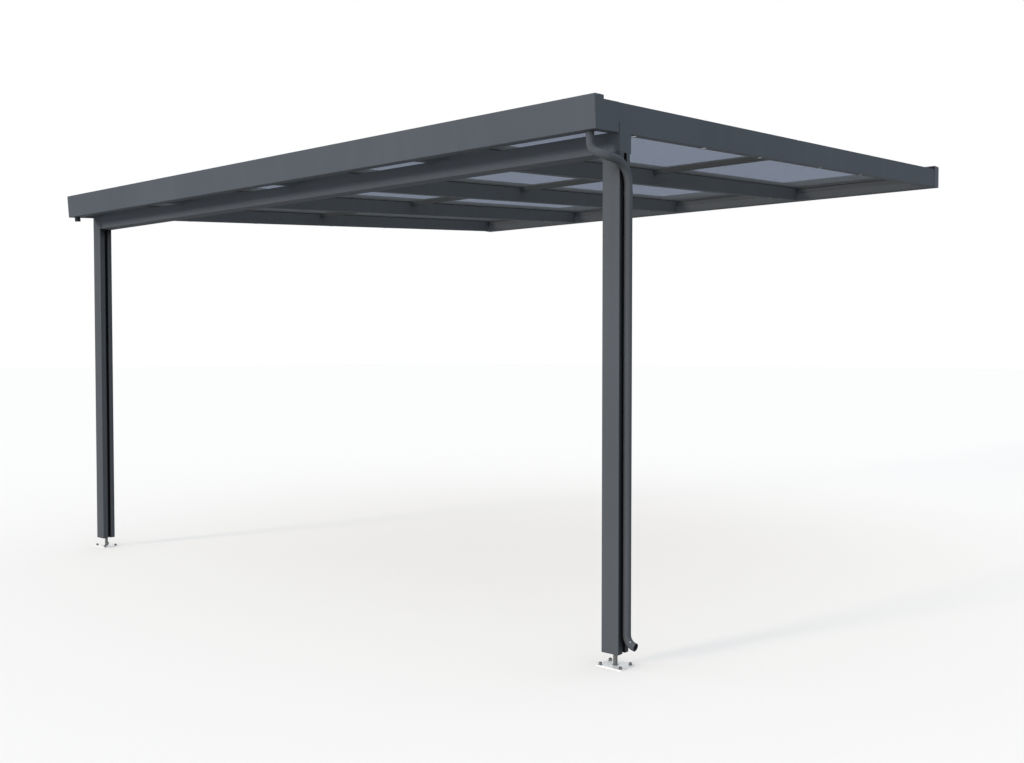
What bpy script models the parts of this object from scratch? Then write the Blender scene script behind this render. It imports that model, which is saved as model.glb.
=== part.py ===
"""Wall-mounted patio cover: an aluminium lean-to frame on two posts, with a box gutter, rafters and panes.

Metres, +Z up. The origin is on the flat back of the wall ledger, at its middle: the wall is the plane y = 0,
the roof falls towards -Y and the width lies along X. Roof members are drawn in a frame of their own, with u
up the slope from the gutter's front and n square to the roof, and that frame is turned to the pitch.
"""

import math

import bmesh
import bpy
from mathutils import Matrix, Quaternion, Vector

# Overall sizes
WIDTH = 4.500
BAYS = 4
ROOF_RUN = 4.430  # along the slope, from the gutter's front to the ledger's front
PITCH = math.radians(3.9)
POST_LENGTH = 2.208
HEADER_CLEARANCE = 0.112  # from the gutter's depth to the header's front, on the level

# Fits and edges
GAP = 0.0003  # between pieces that touch
GLASS_PLAY = 0.003  # between a pane's edge and the metal beside it
OVERSHOOT = 0.010  # how far a cutter reaches past what it cuts
FINE_EDGE = 0.001  # radius of a lip or of a small section's corners
EDGE = 0.0015  # radius of a roof member's corners
BROAD_EDGE = 0.002  # radius of a header's or gutter's corners
FASCIA_EDGE = 0.004  # radius under the gutter's front

# Wall ledger
LEDGER_RISE = 0.025  # from the glazing caps' top to the ledger's top
LEDGER_DEPTH = 0.090
LEDGER_WALL = 0.003
LEDGER_FOOT = 0.052  # height of the lower box
LEDGER_RECESS = 0.020  # how far the middle lies behind the front
GLASS_BITE = 0.040  # how far a pane reaches into the ledger's groove
GROOVE_PLAY = 0.005  # behind the panes' edges
GROOVE_HEADROOM = 0.002  # over the panes

# Panes
PANE_THICKNESS = 0.008
PANE_LIP = 0.022  # how far the panes reach over the gutter
PANE_JOINT = 0.004  # between a front pane and the one behind it

# Rafters
RAFTER_WIDTH = 0.050
SIDE_RAFTER_WIDTH = 0.045
SEAT_HEIGHT = 0.0997  # top of every member that a pane lies on
RAFTER_WALL = 0.003
SPINE_WIDTH = 0.010
UPSTAND = 0.004
SEAT_RELIEF = 0.001  # play before and behind the header in a rafter's seat
CAP_HEIGHT = 0.0217
CAP_WALL = 0.0025

# Cross-bars
CROSSBAR_DEPTH = 0.040
CROSSBAR_HEIGHT = 0.030
CROSSBAR_WALL = 0.0025

# Gutter
GUTTER_RISE = 0.017  # from the glazing caps' top to the gutter's top
GUTTER_DEPTH = 0.068
GUTTER_WALL = 0.003
GUTTER_LIP = 0.018
GUTTER_LIP_DROP = 0.011
GUTTER_FLANGE = 0.015
END_PLATE = 0.003

# Header and posts
HEADER_HEIGHT = 0.088
HEADER_WALL = 0.003
HEADER_PLATE_LAP = 0.045  # how far the header's end plate reaches up over the side rafter
PLATE_SLIT = 0.005  # between the gutter's and the header's end plates
POST = 0.090
POST_WALL = 0.0025
SLOT_MOUTH = 0.021
SLOT_DEPTH = 0.020
POST_FRONT_RADIUS = 0.002
POST_BACK_RADIUS = 0.012

# Feet
FOOT_X = 0.135
FOOT_Y = 0.110
FOOT_PLATE = 0.005
FOOT_CORNER = 0.006
FOOT_LIFT = 0.059  # from the plate's top to the post's end
FOOT_HOLE_X = 0.107
FOOT_HOLE_Y = 0.080
FOOT_HOLE_RADIUS = 0.0055
FOOT_HOLE_SIDES = 12
STUD_RADIUS = 0.0095
STUD_SIDES = 24
INSERT_HEIGHT = 0.035
STUD_BITE = 0.030  # how far the stud reaches into the insert

# Downpipe
PIPE_RADIUS = 0.0185
PIPE_WALL = 0.0016
PIPE_POST_GAP = 0.0005
PIPE_FORWARD = 0.005  # from the post's middle forward to the pipe's
OUTLET_INSET = 0.055  # from the roof's end to the outlet's middle
OUTLET_FLANGE = 0.006  # width of the outlet's flange outside the pipe's radius
OUTLET_FLANGE_THICKNESS = 0.002
SPIGOT_LENGTH = 0.016
STUB_LENGTH = 0.030
PIPE_DROP = 0.078  # from the gutter to the first bend's corner
PIPE_CROSS_DROP = 0.034  # lost while the pipe crosses to the post's outer side
PIPE_CROSS_BACK = 0.014  # gained towards the wall on that stretch
PIPE_BACK_FALL = 0.006  # lost on the way back along the post's side
PIPE_BEND = 0.050  # radius of the first two bends' middle line
PIPE_SWEEP = 0.100  # radius of the bend down beside the post
PIPE_STRAIGHT_TOP = 0.170  # from the header's bottom down to the straight pipe
SHOE_HEIGHT = 0.0955  # from the post's end up to where the shoe starts
SHOE_BEND = 0.050
SHOE_ANGLE = math.radians(78)
SHOE_TAIL = 0.0065
PIPE_SIDES = 16

# Worked out
SIN = math.sin(PITCH)
COS = math.cos(PITCH)
TAN = math.tan(PITCH)
PANE_BOTTOM = SEAT_HEIGHT + GAP
PANE_TOP = PANE_BOTTOM + PANE_THICKNESS
ROOF_TOP = PANE_TOP + GAP + CAP_HEIGHT
GUTTER_HEIGHT = ROOF_TOP + GUTTER_RISE
LEDGER_HEIGHT = ROOF_TOP + LEDGER_RISE
LEDGER_BOTTOM = -LEDGER_HEIGHT / 2
FASCIA_Y = -LEDGER_DEPTH - ROOF_RUN * COS
FASCIA_Z = LEDGER_BOTTOM - ROOF_RUN * SIN
HEADER_SETBACK = GUTTER_DEPTH + HEADER_CLEARANCE
HEADER_FRONT = FASCIA_Y + HEADER_SETBACK
HEADER_BACK = HEADER_FRONT + POST
HEADER_TOP = FASCIA_Z + (HEADER_BACK - FASCIA_Y) * TAN
HEADER_BOTTOM = HEADER_TOP - HEADER_HEIGHT
POST_TOP = HEADER_BOTTOM - GAP
POST_BOTTOM = POST_TOP - POST_LENGTH
POST_Y = HEADER_FRONT + POST / 2
POST_X = WIDTH / 2 - POST / 2
FOOT_TOP = POST_BOTTOM - FOOT_LIFT
INNER_END = WIDTH / 2 - END_PLATE - GAP
MID_U = (GUTTER_DEPTH + ROOF_RUN) / 2
PANE_FRONT = GUTTER_DEPTH - PANE_LIP
OUTLET_X = WIDTH / 2 - OUTLET_INSET
OUTLET_U = GUTTER_DEPTH / 2
PIPE_X = WIDTH / 2 + PIPE_POST_GAP + PIPE_RADIUS
PIPE_Y = POST_Y - PIPE_FORWARD
SPIGOT_RADIUS = PIPE_RADIUS - PIPE_WALL - GAP
FLANGE_RADIUS = PIPE_RADIUS + OUTLET_FLANGE

# Local axes of a drawn profile: (profile x, profile y, length) to (x, y, z)
ALONG_X = Matrix(((0, 0, 1), (1, 0, 0), (0, 1, 0))).to_4x4()
ALONG_U = Matrix(((1, 0, 0), (0, 0, -1), (0, 1, 0))).to_4x4()
ALONG_Z = Matrix.Identity(4)

ROOF_PLACE = Matrix.Translation((0, FASCIA_Y, FASCIA_Z)) @ Matrix.Rotation(PITCH, 4, "X")

PAINT = ("anthracite_powder_coat", (0.075, 0.085, 0.100), 0.42, 0.30)
PAINT_DARK = ("anthracite_trim", (0.050, 0.057, 0.068), 0.50, 0.20)
GLAZING = ("grey_pane", (0.42, 0.47, 0.54), 0.25, 0.0)
STEEL = ("galvanised_steel", (0.72, 0.73, 0.74), 0.38, 0.85)


def clear_scene():
    for thing in list(bpy.data.objects):
        bpy.data.objects.remove(thing, do_unlink=True)


def new_collection(name):
    group = bpy.data.collections.new(name)
    bpy.context.scene.collection.children.link(group)
    return group


def material(spec):
    name, colour, roughness, metallic = spec
    found = bpy.data.materials.get(name)
    if found:
        return found
    made = bpy.data.materials.new(name)
    made.use_nodes = True
    shader = made.node_tree.nodes["Principled BSDF"]
    shader.inputs["Base Color"].default_value = (*colour, 1.0)
    shader.inputs["Roughness"].default_value = roughness
    shader.inputs["Metallic"].default_value = metallic
    made.diffuse_color = (*colour, 1.0)
    return made


def add_object(name, mesh, group, spec=None, place=None):
    thing = bpy.data.objects.new(name, mesh)
    group.objects.link(thing)
    if spec:
        mesh.materials.append(material(spec))
    if place:
        thing.matrix_world = place
    return thing


def fillet(corners, steps=4):
    """Outline points from (x, y, radius) corners, with each radius as an arc."""
    points = []
    count = len(corners)
    for i, (x, y, radius) in enumerate(corners):
        here = Vector((x, y))
        if radius == 0:
            points.append(here)
            continue
        before = (Vector(corners[i - 1][:2]) - here).normalized()
        after = (Vector(corners[(i + 1) % count][:2]) - here).normalized()
        half = before.angle(after) / 2
        centre = here + (before + after).normalized() * radius / math.sin(half)
        start = here + before * radius / math.tan(half) - centre
        turn = start.angle_signed(here + after * radius / math.tan(half) - centre)
        for k in range(steps + 1):
            swing = Matrix.Rotation(-turn * k / steps, 2)
            points.append(centre + swing @ start)
    return points


def rectangle(x0, x1, y0, y1, radius=0.0):
    return [(x0, y0, radius), (x1, y0, radius), (x1, y1, radius), (x0, y1, radius)]


def extrusion(name, loops, start, end, axes):
    """Mesh of a profile (an outline, then its holes) drawn out between two stations."""
    curve = bpy.data.curves.new(name, "CURVE")
    curve.dimensions = "2D"
    curve.fill_mode = "BOTH"
    curve.extrude = (end - start) / 2
    for corners in loops:
        outline = fillet(corners)
        spline = curve.splines.new("POLY")
        spline.points.add(len(outline) - 1)
        for point, (x, y) in zip(spline.points, outline):
            point.co = (x, y, 0, 1)
        spline.use_cyclic_u = True
    mesh = curve_mesh(name, curve)
    middle = (start + end) / 2
    mesh.transform(axes @ Matrix.Translation((0, 0, middle if axes != ALONG_U else -middle)))
    return mesh


def curve_mesh(name, curve):
    """A mesh from a curve, welded into one closed surface."""
    guide = bpy.data.objects.new(name + "_guide", curve)
    bpy.context.scene.collection.objects.link(guide)
    bpy.context.view_layer.update()
    evaluated = guide.evaluated_get(bpy.context.evaluated_depsgraph_get())
    mesh = bpy.data.meshes.new_from_object(evaluated)
    mesh.name = name
    bpy.data.objects.remove(guide)
    weld(mesh)
    return mesh


def weld(mesh):
    work = bmesh.new()
    work.from_mesh(mesh)
    bmesh.ops.remove_doubles(work, verts=work.verts, dist=0.00001)
    bmesh.ops.recalc_face_normals(work, faces=work.faces)
    work.to_mesh(mesh)
    work.free()


def plumb_cut(mesh, station, middle):
    """Leans the end at or past a station upright, so that it meets the ledger's vertical front."""
    for vertex in mesh.vertices:
        if vertex.co.y > middle:
            vertex.co.y = station + vertex.co.z * TAN


def box_mesh(name, x, y, z):
    """A box from three (low, high) pairs."""
    work = bmesh.new()
    bmesh.ops.create_cube(work, size=1.0)
    size = Vector((x[1] - x[0], y[1] - y[0], z[1] - z[0]))
    middle = Vector((x[0] + x[1], y[0] + y[1], z[0] + z[1])) / 2
    bmesh.ops.scale(work, vec=size, verts=work.verts)
    bmesh.ops.translate(work, vec=middle, verts=work.verts)
    mesh = bpy.data.meshes.new(name)
    work.to_mesh(mesh)
    work.free()
    return mesh


def cylinder_mesh(name, radius, low, high, sides):
    work = bmesh.new()
    bmesh.ops.create_cone(
        work, cap_ends=True, segments=sides, radius1=radius, radius2=radius, depth=high - low
    )
    bmesh.ops.translate(work, vec=(0, 0, (low + high) / 2), verts=work.verts)
    mesh = bpy.data.meshes.new(name)
    work.to_mesh(mesh)
    work.free()
    return mesh


def cutter(name, mesh, group, place=None):
    tool = add_object(name, mesh, group, place=place)
    tool.hide_render = True
    tool.display_type = "WIRE"
    return tool


def boolean(thing, tool, operation="DIFFERENCE"):
    step = thing.modifiers.new(operation.lower() + "_" + tool.name, "BOOLEAN")
    step.operation = operation
    step.object = tool


def bay_lines():
    """Middle lines of the rafters, where the two outer ones are the side rafters' outer faces."""
    pitch = WIDTH / BAYS
    return [-WIDTH / 2 + pitch * i for i in range(BAYS + 1)]


def wall_ledger(group):
    seat = LEDGER_BOTTOM + SEAT_HEIGHT / COS
    groove_depth = GLASS_BITE + GROOVE_PLAY
    groove_top = LEDGER_BOTTOM + PANE_TOP / COS + groove_depth * TAN + GROOVE_HEADROOM
    foot_top = LEDGER_BOTTOM + LEDGER_FOOT
    front = -LEDGER_DEPTH
    top = LEDGER_HEIGHT / 2
    wall = LEDGER_WALL
    shelf = seat - 2 * wall
    groove_back = front + groove_depth
    recess_back = front + LEDGER_RECESS
    outline = [
        (0, LEDGER_BOTTOM, 0),
        (front, LEDGER_BOTTOM, EDGE),
        (front, foot_top, EDGE),
        (recess_back, foot_top, 0),
        (recess_back, shelf, 0),
        (front, shelf, FINE_EDGE),
        (front, seat, 0),
        (groove_back, seat, 0),
        (groove_back, groove_top, 0),
        (front, groove_top, FINE_EDGE),
        (front, top, BROAD_EDGE),
        (0, top, 0),
    ]
    rooms = [
        rectangle(front + wall, -wall, LEDGER_BOTTOM + wall, foot_top - wall),
        rectangle(recess_back + wall, -wall, foot_top, shelf),
        rectangle(groove_back + wall, -wall, shelf + wall, groove_top),
        rectangle(front + wall, -wall, groove_top + wall, top - wall),
    ]
    mesh = extrusion("wall_ledger", [outline] + rooms, -INNER_END, INNER_END, ALONG_X)
    add_object("wall_ledger", mesh, group, PAINT)
    cover = rectangle(front, 0, LEDGER_BOTTOM, top, EDGE)
    for side, sign in (("left", -1), ("right", 1)):
        name = "ledger_end_cap_" + side
        inner = sign * (WIDTH / 2 - END_PLATE)
        low, high = sorted((inner, sign * WIDTH / 2))
        add_object(name, extrusion(name, [cover], low, high, ALONG_X), group, PAINT)


def seat_cutter(group):
    """The space that the header takes out of the rafters' undersides, so that they sit flat on it."""
    mesh = box_mesh(
        "header_seat",
        (-WIDTH, WIDTH),
        (HEADER_FRONT - SEAT_RELIEF, HEADER_BACK + SEAT_RELIEF),
        (HEADER_BOTTOM, HEADER_TOP + GAP),
    )
    return cutter("header_seat", mesh, group)


def roof_bar(name, loops, start, group, spec, seat=None):
    """A member that runs up the slope and ends plumb against the ledger."""
    mesh = extrusion(name, loops, start, ROOF_RUN, ALONG_U)
    plumb_cut(mesh, ROOF_RUN - GAP, (start + ROOF_RUN) / 2)
    bar = add_object(name, mesh, group, spec, ROOF_PLACE)
    if seat:
        boolean(bar, seat)
    return bar


def rafters(group, seat):
    start = GUTTER_DEPTH + GAP
    wall = RAFTER_WALL
    half = RAFTER_WIDTH / 2
    spine = SPINE_WIDTH / 2
    for i, x in enumerate(bay_lines()[1:-1], 1):
        outline = [
            (x - half, 0, EDGE),
            (x + half, 0, EDGE),
            (x + half, SEAT_HEIGHT, 0),
            (x + spine, SEAT_HEIGHT, 0),
            (x + spine, PANE_TOP, 0),
            (x - spine, PANE_TOP, 0),
            (x - spine, SEAT_HEIGHT, 0),
            (x - half, SEAT_HEIGHT, 0),
        ]
        room = rectangle(x - half + wall, x + half - wall, wall, SEAT_HEIGHT - wall)
        roof_bar(f"rafter_{i}", [outline, room], start, group, PAINT, seat)
    for side, sign in (("left", -1), ("right", 1)):
        outer = sign * INNER_END
        shoulder = sign * (INNER_END - UPSTAND)
        inner = sign * (WIDTH / 2 - SIDE_RAFTER_WIDTH)
        outline = [
            (outer, 0, EDGE),
            (outer, ROOF_TOP, 0),
            (shoulder, ROOF_TOP, 0),
            (shoulder, SEAT_HEIGHT, 0),
            (inner, SEAT_HEIGHT, 0),
            (inner, 0, EDGE),
        ]
        edges = sorted((outer - sign * wall, inner + sign * wall))
        room = rectangle(*edges, wall, SEAT_HEIGHT - wall)
        roof_bar(f"side_rafter_{side}", [outline, room], start, group, PAINT, seat)


def channel(x0, x1):
    """Section of a glazing cap: a channel that lies upside down on the panes' edges."""
    base = PANE_TOP + GAP
    wall = CAP_WALL
    return [
        (x0, base, 0),
        (x0 + wall, base, 0),
        (x0 + wall, ROOF_TOP - wall, 0),
        (x1 - wall, ROOF_TOP - wall, 0),
        (x1 - wall, base, 0),
        (x1, base, 0),
        (x1, ROOF_TOP, EDGE),
        (x0, ROOF_TOP, EDGE),
    ]


def glazing_caps(group):
    half = RAFTER_WIDTH / 2
    for i, x in enumerate(bay_lines()[1:-1], 1):
        roof_bar(f"glazing_cap_{i}", [channel(x - half, x + half)], PANE_FRONT, group, PAINT)
    for side, sign in (("left", -1), ("right", 1)):
        reach = (sign * (INNER_END - UPSTAND - GAP), sign * (WIDTH / 2 - SIDE_RAFTER_WIDTH))
        section = channel(*sorted(reach))
        roof_bar(f"glazing_cap_{side}", [section], GUTTER_DEPTH + GAP, group, PAINT)


def bay_spans(inner_clearance, outer_inset):
    """Free widths of the bays, between the rafters' middle lines and inside the roof's two ends."""
    lines = bay_lines()
    spans = []
    for i in range(BAYS):
        low = lines[i] + (outer_inset if i == 0 else inner_clearance)
        high = lines[i + 1] - (outer_inset if i == BAYS - 1 else inner_clearance)
        spans.append((low, high))
    return spans


def crossbars(group):
    wall = CROSSBAR_WALL
    u0 = MID_U - CROSSBAR_DEPTH / 2
    u1 = MID_U + CROSSBAR_DEPTH / 2
    n0 = SEAT_HEIGHT - CROSSBAR_HEIGHT
    outline = rectangle(u0, u1, n0, SEAT_HEIGHT, FINE_EDGE)
    room = rectangle(u0 + wall, u1 - wall, n0 + wall, SEAT_HEIGHT - wall)
    spans = bay_spans(RAFTER_WIDTH / 2 + GAP, SIDE_RAFTER_WIDTH + GAP)
    for i, (low, high) in enumerate(spans, 1):
        name = f"crossbar_{i}"
        add_object(name, extrusion(name, [outline, room], low, high, ALONG_X), group, PAINT, ROOF_PLACE)


def panes(group):
    outer = END_PLATE + GAP + UPSTAND + GLASS_PLAY
    spans = bay_spans(SPINE_WIDTH / 2 + GLASS_PLAY, outer)
    rear_end = ROOF_RUN + GLASS_BITE / COS
    reaches = {
        "front": (PANE_FRONT, MID_U - PANE_JOINT / 2),
        "rear": (MID_U + PANE_JOINT / 2, rear_end),
    }
    for i, span in enumerate(spans, 1):
        for row, reach in reaches.items():
            name = f"pane_{i}_{row}"
            mesh = box_mesh(name, span, reach, (PANE_BOTTOM, PANE_TOP))
            add_object(name, mesh, group, GLAZING, ROOF_PLACE)


def gutter(group, tools):
    wall = GUTTER_WALL
    back = GUTTER_DEPTH
    top = GUTTER_HEIGHT
    outline = [
        (0, 0, FASCIA_EDGE),
        (back, 0, BROAD_EDGE),
        (back, SEAT_HEIGHT, 0),
        (back - GUTTER_FLANGE, SEAT_HEIGHT, 0),
        (back - GUTTER_FLANGE, SEAT_HEIGHT - wall, 0),
        (back - wall, SEAT_HEIGHT - wall, 0),
        (back - wall, wall, FINE_EDGE),
        (wall, wall, BROAD_EDGE),
        (wall, top - wall, 0),
        (GUTTER_LIP - wall, top - wall, 0),
        (GUTTER_LIP - wall, top - GUTTER_LIP_DROP, 0),
        (GUTTER_LIP, top - GUTTER_LIP_DROP, 0),
        (GUTTER_LIP, top, BROAD_EDGE),
        (0, top, BROAD_EDGE),
    ]
    mesh = extrusion("gutter", [outline], -INNER_END, INNER_END, ALONG_X)
    trough = add_object("gutter", mesh, group, PAINT, ROOF_PLACE)
    for side, sign in (("left", -1), ("right", 1)):
        place = ROOF_PLACE @ Matrix.Translation((sign * OUTLET_X, OUTLET_U, 0))
        name = "outlet_hole_" + side
        hole = cylinder_mesh(name, SPIGOT_RADIUS + GAP, -OVERSHOOT, OVERSHOOT, PIPE_SIDES)
        boolean(trough, cutter(name, hole, tools, place))
    plate_back = HEADER_SETBACK / COS - PLATE_SLIT
    cover = [
        (0, 0, FASCIA_EDGE),
        (plate_back, 0, FINE_EDGE),
        (plate_back + ROOF_TOP * TAN, ROOF_TOP, 0),
        (back, ROOF_TOP, 0),
        (back, top, BROAD_EDGE),
        (0, top, BROAD_EDGE),
    ]
    for side, sign in (("left", -1), ("right", 1)):
        name = "gutter_end_plate_" + side
        low, high = sorted((sign * (WIDTH / 2 - END_PLATE), sign * WIDTH / 2))
        add_object(name, extrusion(name, [cover], low, high, ALONG_X), group, PAINT, ROOF_PLACE)


def turned(name, profile, group, spec, place):
    """A profile of (radius, height) points, turned about Z. It closes unless it starts on the axis."""
    mesh = bpy.data.meshes.new(name)
    count = len(profile)
    edges = [(i, i + 1) for i in range(count - 1)]
    if profile[0][0] > 0:
        edges.append((count - 1, 0))
    mesh.from_pydata([(radius, 0, height) for radius, height in profile], edges, [])
    thing = add_object(name, mesh, group, spec, place)
    turn = thing.modifiers.new("turn", "SCREW")
    turn.steps = PIPE_SIDES
    turn.render_steps = PIPE_SIDES
    turn.use_merge_vertices = True
    turn.merge_threshold = 0.00001


def outlets(group):
    floor = GUTTER_WALL + GAP
    rim = floor + OUTLET_FLANGE_THICKNESS
    bore = SPIGOT_RADIUS - PIPE_WALL
    flange = [
        (bore, rim),
        (FLANGE_RADIUS, rim),
        (FLANGE_RADIUS, floor),
        (SPIGOT_RADIUS, floor),
    ]
    spigot = flange + [
        (SPIGOT_RADIUS, -SPIGOT_LENGTH),
        (bore, -SPIGOT_LENGTH),
    ]
    place = ROOF_PLACE @ Matrix.Translation((OUTLET_X, OUTLET_U, 0))
    turned("gutter_outlet_right", spigot, group, PAINT_DARK, place)
    inside = [
        (0, -STUB_LENGTH + PIPE_WALL),
        (bore, -STUB_LENGTH + PIPE_WALL),
    ]
    stub = [
        (SPIGOT_RADIUS, -GAP),
        (PIPE_RADIUS, -GAP),
        (PIPE_RADIUS, -STUB_LENGTH),
        (0, -STUB_LENGTH),
    ]
    place = ROOF_PLACE @ Matrix.Translation((-OUTLET_X, OUTLET_U, 0))
    turned("gutter_outlet_left", inside + flange + stub, group, PAINT_DARK, place)


def header(group):
    wall = HEADER_WALL
    outline = rectangle(HEADER_FRONT, HEADER_BACK, HEADER_BOTTOM, HEADER_TOP, BROAD_EDGE)
    room = rectangle(HEADER_FRONT + wall, HEADER_BACK - wall, HEADER_BOTTOM + wall, HEADER_TOP - wall)
    mesh = extrusion("header_beam", [outline, room], -INNER_END, INNER_END, ALONG_X)
    add_object("header_beam", mesh, group, PAINT)
    front_top = FASCIA_Z + HEADER_SETBACK * TAN + HEADER_PLATE_LAP / COS
    cover = [
        (HEADER_FRONT, HEADER_BOTTOM, 0),
        (HEADER_BACK, HEADER_BOTTOM, 0),
        (HEADER_BACK, front_top + POST * TAN, BROAD_EDGE),
        (HEADER_FRONT, front_top, BROAD_EDGE),
    ]
    for side, sign in (("left", -1), ("right", 1)):
        name = "header_end_plate_" + side
        low, high = sorted((sign * (WIDTH / 2 - END_PLATE), sign * WIDTH / 2))
        add_object(name, extrusion(name, [cover], low, high, ALONG_X), group, PAINT)


def post_section():
    """Square tube with a channel let into each side face, flat front and rounded back corners."""
    half = POST / 2
    wall = POST_WALL
    mouth = SLOT_MOUTH / 2
    floor = half - SLOT_DEPTH
    outline = [
        (-half, -half, POST_FRONT_RADIUS),
        (half, -half, POST_FRONT_RADIUS),
        (half, -mouth, FINE_EDGE),
        (floor, -mouth, 0),
        (floor, mouth, 0),
        (half, mouth, FINE_EDGE),
        (half, half, POST_BACK_RADIUS),
        (-half, half, POST_BACK_RADIUS),
        (-half, mouth, FINE_EDGE),
        (-floor, mouth, 0),
        (-floor, -mouth, 0),
        (-half, -mouth, FINE_EDGE),
    ]
    rim = half - wall
    lobe = mouth + wall
    waist = floor - wall
    back = POST_BACK_RADIUS - wall
    room = [
        (-rim, -rim, 0),
        (rim, -rim, 0),
        (rim, -lobe, 0),
        (waist, -lobe, 0),
        (waist, lobe, 0),
        (rim, lobe, 0),
        (rim, rim, back),
        (-rim, rim, back),
        (-rim, lobe, 0),
        (-waist, lobe, 0),
        (-waist, -lobe, 0),
        (-rim, -lobe, 0),
    ]
    return [outline, room]


def posts(group, tools):
    waist = POST / 2 - SLOT_DEPTH - POST_WALL - GAP
    depth = POST / 2 - POST_WALL - GAP
    low = POST_BOTTOM
    high = POST_BOTTOM + INSERT_HEIGHT
    for side, sign in (("left", -1), ("right", 1)):
        place = Matrix.Translation((sign * POST_X, POST_Y, 0))
        name = "post_" + side
        add_object(name, extrusion(name, post_section(), POST_BOTTOM, POST_TOP, ALONG_Z), group, PAINT, place)
        name = "post_insert_" + side
        block = box_mesh(name, (-waist, waist), (-depth, depth), (low, high))
        insert = add_object(name, block, group, STEEL, place)
        name += "_bore"
        bore = cylinder_mesh(name, STUD_RADIUS + GAP, low - OVERSHOOT, high + OVERSHOOT, STUD_SIDES)
        boolean(insert, cutter(name, bore, tools, place))


def feet(group, tools):
    low = FOOT_TOP - FOOT_PLATE
    outline = rectangle(-FOOT_X / 2, FOOT_X / 2, -FOOT_Y / 2, FOOT_Y / 2, FOOT_CORNER)
    for side, sign in (("left", -1), ("right", 1)):
        place = Matrix.Translation((sign * POST_X, POST_Y, 0))
        name = "foot_" + side
        foot = add_object(name, extrusion(name, [outline], low, FOOT_TOP, ALONG_Z), group, STEEL, place)
        name = f"foot_{side}_stud"
        root = FOOT_TOP - FOOT_PLATE / 2
        stud = cylinder_mesh(name, STUD_RADIUS, root, POST_BOTTOM + STUD_BITE, STUD_SIDES)
        boolean(foot, cutter(name, stud, tools, place), "UNION")
        for i, (sx, sy) in enumerate(((-1, -1), (1, -1), (1, 1), (-1, 1)), 1):
            name = f"foot_{side}_hole_{i}"
            spot = place @ Matrix.Translation((sx * FOOT_HOLE_X / 2, sy * FOOT_HOLE_Y / 2, 0))
            reach = (low - OVERSHOOT, FOOT_TOP + OVERSHOOT)
            hole = cylinder_mesh(name, FOOT_HOLE_RADIUS, *reach, FOOT_HOLE_SIDES)
            boolean(foot, cutter(name, hole, tools, spot))


def bend(corners, radii, steps=6):
    """A route's points, with every inner corner rounded to a radius of its own."""
    route = [corners[0]]
    for before, here, after, radius in zip(corners, corners[1:], corners[2:], radii):
        into = (before - here).normalized()
        out = (after - here).normalized()
        half = into.angle(out) / 2
        centre = here + (into + out).normalized() * radius / math.sin(half)
        start = here + into * radius / math.tan(half) - centre
        end = here + out * radius / math.tan(half) - centre
        turn = start.rotation_difference(end)
        for k in range(steps + 1):
            swing = Quaternion().slerp(turn, k / steps)
            route.append(centre + swing @ start)
    route.append(corners[-1])
    return route


def tube(name, route, group, spec):
    """An open pipe of the downpipe's size along a route."""
    curve = bpy.data.curves.new(name, "CURVE")
    curve.dimensions = "3D"
    curve.bevel_depth = PIPE_RADIUS
    curve.bevel_resolution = (PIPE_SIDES - 4) // 2
    curve.use_fill_caps = False
    curve.twist_mode = "MINIMUM"
    spline = curve.splines.new("POLY")
    spline.points.add(len(route) - 1)
    for point, place in zip(spline.points, route):
        point.co = (*place, 1)
    mesh = curve_mesh(name, curve)
    pipe = add_object(name, mesh, group, spec)
    shell = pipe.modifiers.new("wall", "SOLIDIFY")
    shell.thickness = PIPE_WALL
    shell.offset = -1
    shell.use_even_offset = True
    return pipe


def downpipe(group):
    start = ROOF_PLACE @ Vector((OUTLET_X, OUTLET_U, -GAP))
    turn_out = ROOF_PLACE @ Vector((OUTLET_X, OUTLET_U, -PIPE_DROP))
    turn_back = Vector((PIPE_X, turn_out.y + PIPE_CROSS_BACK, turn_out.z - PIPE_CROSS_DROP))
    turn_down = Vector((PIPE_X, PIPE_Y, turn_back.z - PIPE_BACK_FALL))
    joint_top = Vector((PIPE_X, PIPE_Y, HEADER_BOTTOM - PIPE_STRAIGHT_TOP))
    joint_bottom = Vector((PIPE_X, PIPE_Y, POST_BOTTOM + SHOE_HEIGHT))
    corners = [start, turn_out, turn_back, turn_down, joint_top]
    tube("downpipe_offset", bend(corners, [PIPE_BEND, PIPE_BEND, PIPE_SWEEP]), group, PAINT)
    gap = Vector((0, 0, GAP))
    tube("downpipe", [joint_top - gap, joint_bottom + gap], group, PAINT)
    reach = SHOE_BEND * math.tan(SHOE_ANGLE / 2) + SHOE_TAIL
    elbow = joint_bottom - Vector((0, 0, reach))
    mouth = elbow + reach * Vector((math.sin(SHOE_ANGLE), 0, -math.cos(SHOE_ANGLE)))
    tube("downpipe_shoe", bend([joint_bottom, elbow, mouth], [SHOE_BEND]), group, PAINT)


def main():
    clear_scene()
    group = new_collection("patio_cover")
    tools = new_collection("cutters")
    wall_ledger(group)
    seat = seat_cutter(tools)
    rafters(group, seat)
    glazing_caps(group)
    crossbars(group)
    panes(group)
    gutter(group, tools)
    outlets(group)
    header(group)
    posts(group, tools)
    feet(group, tools)
    downpipe(group)


main()
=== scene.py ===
"""Looks of a wall-mounted patio cover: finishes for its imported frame, and the fittings that it carries.

Metres, +Z up, in the frame's own axes: the wall is y = 0, the roof falls towards -Y and its width lies
along X. Fittings on the roof are placed by (x, u, n): u runs up the slope from the gutter's front, and n
is square to the roof.
"""

import math

import bmesh
import bpy
from mathutils import Matrix, Quaternion, Vector


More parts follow.
